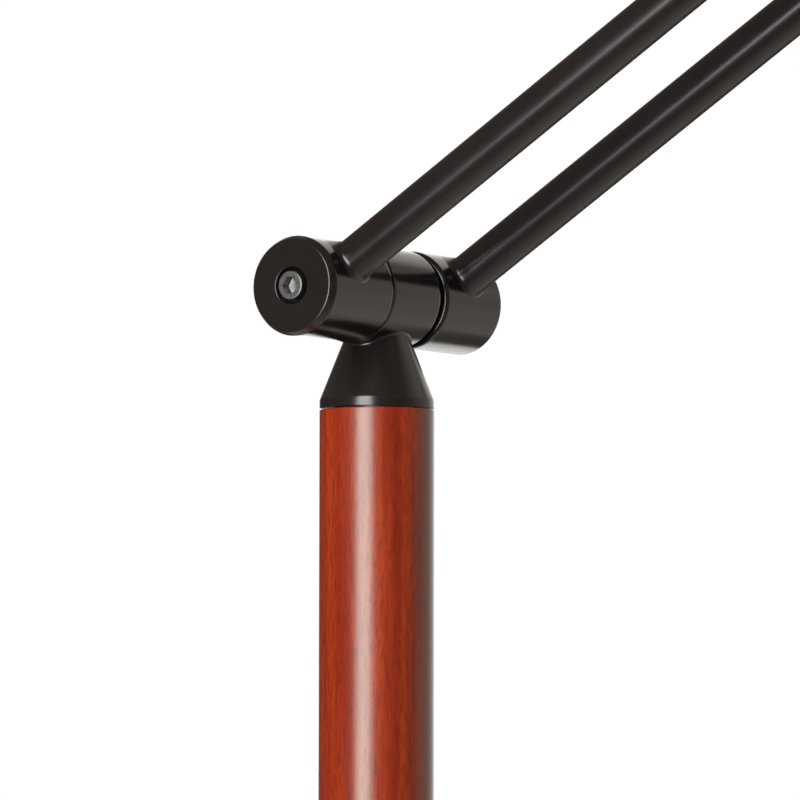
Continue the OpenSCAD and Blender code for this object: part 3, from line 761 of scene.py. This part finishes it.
def make_shade():
    low, high = span("shade", 2)
    mouth_r = 90 * MM
    wall, bead_r, shoulder_round = 1 * MM, 1.3 * MM, 12 * MM
    roll_start, roll_sweep, roll_steps = 25, 310, 16
    rim = low + bead_r
    lean = math.radians(21.715)
    slope = math.tan(lean)
    shift = wall / math.cos(lean)
    corner = mouth_r - (high - rim) * slope
    bead = Vector((mouth_r - wall / 2, rim))
    place = Vector((head.x, 0, 0))
    top = high - wall
    outer = outline((shade_neck_r, high), (corner, high, shoulder_round),
                    (mouth_r - bead_r * slope, rim + bead_r))
    inner = outline((mouth_r - shift - bead_r * slope, rim + bead_r),
                    (corner + wall * slope - shift, top, shoulder_round - wall),
                    (shade_neck_r, top), (shade_neck_r, high))
    turns = [math.radians(roll_start + roll_sweep * step / roll_steps) for step in range(roll_steps + 1)]
    roll = [bead + bead_r * Vector((math.sin(turn), math.cos(turn))) for turn in turns]
    bm = bmesh.new()
    wrap(bm, seat(place, Z, X), [circle(r, height) for r, height in outer + roll + inner], FINE_STEPS)
    shade = piece("lamp_shade", bm, "head", "shade_paint", [black_paint, white_paint], "shade")
    for face in shade.data.polygons:
        out = Vector((face.center.x - head.x, face.center.y, 0))
        inside = face.normal.dot(out.normalized()) < 0 or face.normal.z < -0.9
        if inside and face.center.z > rim:
            face.material_index = 1


def make_shade_ring():
    low, high = span("shade_ring", 2)
    ring_r = radius("shade_ring")
    grips, grip_depth = 18, 0.8 * MM
    edge = 0.6 * MM

    def grip_at(angle):
        return ring_r - grip_depth * max(0, math.cos(grips * angle)) ** 2

    def foot_at(angle):
        return grip_at(angle) - edge / 2

    bm = bmesh.new()
    wrap(bm, seat(Vector((head.x, 0, 0)), Z, X), [
        circle(shade_neck_r, low), circle(ring_r - grip_depth - edge, low), ring_of(foot_at, low),
        ring_of(grip_at, low + edge), ring_of(grip_at, high), circle(shade_neck_r, high),
        circle(shade_neck_r, low)], FINE_STEPS)
    piece("lamp_shade_ring", bm, "head", "white_phenolic", [white_phenolic], "shade_ring")


def threaded(root_r, depth, pitch, low, high):
    """Rows of a screw thread between two heights"""
    rows = []
    count = round(8 * (high - low) / pitch)
    for step in range(count + 1):
        height = low + (high - low) * step / count
        fade = min(1, (height - low) / pitch, (high - height) / pitch)

        def crest(angle, height=height, fade=fade):
            wave = math.cos(2 * math.pi * height / pitch - angle)
            return root_r + depth * fade * (0.5 + 0.5 * wave)

        rows.append(ring_of(crest, height))
    return rows


def make_lampholder():
    low, high = span("lampholder", 2)
    flange_r = radius("lampholder")
    neck_r, body_r, flange_t = 18.4 * MM, 17 * MM, 4 * MM
    mouth_r, socket_depth, nipple_depth = 14.8 * MM, 26 * MM, 8 * MM
    thread_depth, pitch, thread_gap = 0.6 * MM, 3 * MM, 0.4 * MM
    edge = 0.8 * MM
    neck_top = span("shade", 2)[1]
    flange_top = neck_top + flange_t
    socket_top = low + socket_depth
    nipple_foot = high - nipple_depth
    thread_low, thread_high = low + 2 * edge, neck_top - thread_gap
    bm = bmesh.new()
    wrap(bm, seat(Vector((head.x, 0, 0)), Z, X), [
        circle(0, socket_top),
        *turned((mouth_r, socket_top), (mouth_r, low, edge), (neck_r, low, edge), (neck_r, thread_low)),
        *threaded(neck_r, thread_depth, pitch, thread_low, thread_high),
        *turned((neck_r, neck_top), (flange_r, neck_top), (flange_r, flange_top, edge),
                (body_r, flange_top), (body_r, high, edge), (nipple_hole_r, high),
                (nipple_hole_r, nipple_foot), (0, nipple_foot))])
    piece("lamp_lampholder", bm, "head", "white_phenolic", [white_phenolic], "lampholder")


def make_bulb():
    low, high = span("bulb_glass", 2)
    bulb_r = radius("bulb_glass")
    neck_r = 12.5 * MM
    centre = low + bulb_r
    rise = high - centre
    far = math.hypot(neck_r, rise)
    touch = math.atan2(rise, neck_r) - math.acos(bulb_r / far)
    ball_steps = 24
    turns = [-math.pi / 2 + (touch + math.pi / 2) * step / ball_steps for step in range(ball_steps + 1)]
    ball = [circle(bulb_r * math.cos(turn), centre + bulb_r * math.sin(turn)) for turn in turns]
    bm = bmesh.new()
    wrap(bm, seat(Vector((head.x, 0, 0)), Z, X), [*ball, circle(neck_r, high), circle(0, high)])
    piece("lamp_bulb_glass", bm, "head", "opal_glass", [opal], "bulb_glass")

    low, high = span("bulb_cap", 2)
    tip_r, tip_h, tip_round = 4.5 * MM, 2 * MM, 0.8 * MM
    root_r, top_round = 12.4 * MM, 0.7 * MM
    thread_depth, pitch, thread_gap = 0.7 * MM, 3.6 * MM, 1 * MM
    body_top = high - tip_h
    thread_low, thread_high = low + thread_gap, body_top - thread_gap
    bm = bmesh.new()
    wrap(bm, seat(Vector((head.x, 0, 0)), Z, X), [
        circle(0, low), circle(root_r, low), *threaded(root_r, thread_depth, pitch, thread_low, thread_high),
        *turned((root_r, thread_high), (root_r, body_top, top_round), (tip_r, body_top),
                (tip_r, high, tip_round), (0, high))[1:]])
    piece("lamp_bulb_cap", bm, "head", "bulb_metal", [cap_metal], "bulb_cap")


def make_knob():
    inner, outer = span("switch_knob", 0)
    skirt_r = radius("switch_knob", 1)
    height = sum(span("switch_knob", 2)) / 2
    knob_r, skirt_t, bore_r = 6.5 * MM, 3 * MM, 2.1 * MM
    bore_depth, flutes, flute_depth = 12 * MM, 14, 0.9 * MM
    edge, back_edge, foot_r, foot_gap = 0.7 * MM, 0.5 * MM, 0.3 * MM, 0.4 * MM
    crown, crown_cuts = 1.6 * MM, ((0.3 * MM, 0.9 * MM), (0.8 * MM, 0.35 * MM))
    steps_per_flute = 12
    length = outer - inner

    def grip_at(angle):
        return knob_r - flute_depth * max(0, math.cos(flutes * angle)) ** 2

    def grip_less(cut):
        return lambda angle: min(grip_at(angle), knob_r - cut)

    bm = bmesh.new()
    wrap(bm, seat(Vector((inner, 0, height)), X, Y), [
        circle(0, bore_depth), circle(bore_r, bore_depth),
        *turned((bore_r, 0), (skirt_r, 0, back_edge), (skirt_r, skirt_t, edge), (knob_r + foot_r, skirt_t)),
        ring_of(grip_at, skirt_t + foot_gap), ring_of(grip_at, length - crown),
        *[ring_of(grip_less(cut), length - drop) for cut, drop in crown_cuts],
        circle(knob_r - crown, length), circle(0, length)], steps_per_flute * flutes)
    piece("lamp_switch_knob", bm, "switch", "black_plastic", [black_plastic], "switch_knob")


make_column()
make_base()
make_foot_cone()
make_gland()
for hinge_label, hinge, carrier in (("shoulder", shoulder, "shoulder"), ("head", head, "head")):
    make_drums(hinge_label, hinge)
    fixed_drum = make_tee(hinge_label, hinge, carrier)
    make_bolt(hinge_label, hinge)
    make_nut(hinge_label, hinge)
    make_rings(hinge_label, hinge, carrier)
    if hinge_label == "shoulder":
        make_grub_screw(fixed_drum)
make_arm("lamp_front_arm", front_arm_y, "front_arm_tube", front_weld_spread)
make_arm("lamp_rear_arm", rear_arm_y, "rear_arm_tube", rear_weld_spread)
make_cup()
make_shade()
make_shade_ring()
make_lampholder()
make_bulb()
make_knob()

# Inner pieces keep their solids and get a finish
inner_finishes = {
    "base_weight": cast_iron, "rod_washer": zinc_steel, "rod_nut": zinc_steel, "column_rod": zinc_steel,
    "swivel_post": zinc_steel, "swivel_washer": nylon, "nipple": zinc_steel, "screw_shell": brass,
    "centre_contact": brass, "switch_spindle": brass,
}
for inner_name, inner_finish in inner_finishes.items():
    inner_mesh = frame["nodes"][inner_name].data
    inner_mesh.materials.clear()
    inner_mesh.materials.append(inner_finish)


# Studio

room_tint = colour(1, 0.91, 0.82)


def lengthwise(tree, place):
    """How far a direction or a place lies ahead, to the right and up, as the camera has them"""
    return [tree.node("ShaderNodeVectorMath", {"operation": "DOT_PRODUCT"}, {0: place, 1: way}, 1)
            for way in (ahead_level, right_level, Z)]


def room(tree, toward):
    """What reflections see above the floor: a white screen at the back, a panel at the right, a dim room"""
    ahead, right, up = lengthwise(tree, toward)
    screen = tree.ramp(ahead, 0.86, 0.98) * tree.ramp(right, -0.35, -0.1)
    screen = screen + tree.ramp(ahead, 0.6, 0.66) * tree.ramp(right, -0.15, 0.05)
    slit = tree.ramp(ahead, 0.44, 0.52) * tree.ramp(up, 0.3, 0.42)
    panel = tree.ramp(right, 0.1, 0.5) * tree.ramp(ahead, -0.7, 0.3)
    panel = panel * (1 - tree.ramp(up, 0.56, 0.7)) * (1 - slit * 0.85)
    dim = 0.05 + 0.09 * tree.ramp(up, 0.1, 0.4) + 0.05 * tree.ramp(right, -0.2, 0.4)
    return dim + screen.maths("MAXIMUM", screen, panel * 0.61)


def table(tree, place):
    """What reflections see in the floor: a pale table, a panel's foot at the right, a white sheet behind"""
    ahead, right, _ = lengthwise(tree, place)
    top = tree.ramp(ahead, -0.8, 0) * (1 - tree.ramp(ahead, 1.05, 1.2)) * (1 - tree.ramp(right, 1.15, 1.3))
    panel = tree.ramp(right - ahead * 0.2, 0.87, 1.12) * tree.ramp(ahead, -1.5, 0.5)
    top = top * tree.ramp(right, -0.9, -0.4)
    sheet = tree.ramp(ahead, 1.2, 1.5) * (1 - tree.ramp(right - ahead * 0.1, 0.34, 0.5))
    sheet = sheet * tree.ramp(right + ahead * 0.1, -0.2, 0)
    white = 3.8 - 1.8 * tree.ramp(right, -0.1, 0.1) - 0.6 * tree.ramp(ahead, 2.6, 4.5)
    return 0.14 + top.maths("MAXIMUM", top * 0.65, panel * 0.7) + sheet * white


def tint_of(tree, seen, strength):
    """White for the camera. Reflections get the room's warm tint, but white where it is brightest."""
    tint = tree.mix(tree.ramp(strength, 0.9, 1.6), room_tint, colour(1, 1, 1))
    return tree.mix(seen, tint, colour(1, 1, 1))


def make_floor():
    """White for the camera, pale for the light. Reflections see the studio in it."""
    size = 60
    bm = bmesh.new()
    bmesh.ops.create_grid(bm, x_segments=1, y_segments=1, size=size)
    mesh = bpy.data.meshes.new("floor")
    bm.to_mesh(mesh)
    bm.free()
    floor = bpy.data.objects.new("floor", mesh)
    bpy.context.scene.collection.objects.link(floor)
    material = bpy.data.materials.new("pale_floor")
    tree = Tree(material)
    tree.nodes.clear()
    seen = tree.ray("Is Camera Ray", "Is Transmission Ray")
    glossy = tree.ray("Is Glossy Ray")
    place = tree.node("ShaderNodeTexCoord", output=3)
    matt = tree.node("ShaderNodeBsdfDiffuse", {}, {"Color": colour(0.5, 0.5, 0.5)})
    strength = seen + (1 - seen) * table(tree, place)
    tint = tint_of(tree, seen, strength)
    glow = tree.node("ShaderNodeEmission", {}, {"Color": tint, "Strength": strength})
    lit = tree.node("ShaderNodeMixShader", {}, {0: seen * 0.7 + glossy, 1: matt, 2: glow})
    tree.end("ShaderNodeOutputMaterial", lit)
    mesh.materials.append(material)
    floor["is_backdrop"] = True


def make_world():
    """White all round for the camera, the studio for reflections"""
    world = bpy.data.worlds.new("studio")
    bpy.context.scene.world = world
    tree = Tree(world)
    tree.nodes.clear()
    toward = tree.node("ShaderNodeTexCoord", output=0)
    plain = tree.ray("Is Camera Ray", "Is Transmission Ray")
    glossy = tree.ray("Is Glossy Ray")
    fill = 0.03
    strength = plain + (1 - plain) * (glossy * room(tree, toward) + (1 - glossy) * fill)
    tint = tint_of(tree, plain, strength)
    shown = tree.node("ShaderNodeBackground", {}, {"Color": tint, "Strength": strength})
    tree.end("ShaderNodeOutputWorld", shown)


def make_softbox(name, place, aim, width, height, watts, mirrored=True):
    data = bpy.data.lights.new(name, "AREA")
    data.shape = "RECTANGLE"
    data.size = width
    data.size_y = height
    data.energy = watts
    lamp = bpy.data.objects.new(name, data)
    back = (place - aim).normalized()
    side = Z.cross(back).normalized()
    turn = Matrix((side, back.cross(side), back)).transposed().to_4x4()
    lamp.matrix_world = Matrix.Translation(place) @ turn
    lamp.visible_camera = False
    lamp.visible_glossy = mirrored
    bpy.context.scene.collection.objects.link(lamp)


make_floor()
make_world()
make_softbox("front_softbox", Vector((0.24, -1.58, 1.2)), Vector((0, 0, 1.2)), 1.0, 1.9, 23)
make_softbox("front_softbox_core", Vector((0.24, -1.57, 1.2)), Vector((0, 0, 1.2)), 0.7, 1.6, 23)
make_softbox("left_fill", Vector((-0.6, -1.9, 1.4)), Vector((0, 0, 1.06)), 0.8, 0.8, 5.5, False)

bpy.context.scene.view_settings.view_transform = "Standard"

visual_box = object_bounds()
boxes = {"cad": cad_box, "visual": visual_box}
{name: [list(corner) for corner in box] for name, box in boxes.items()}
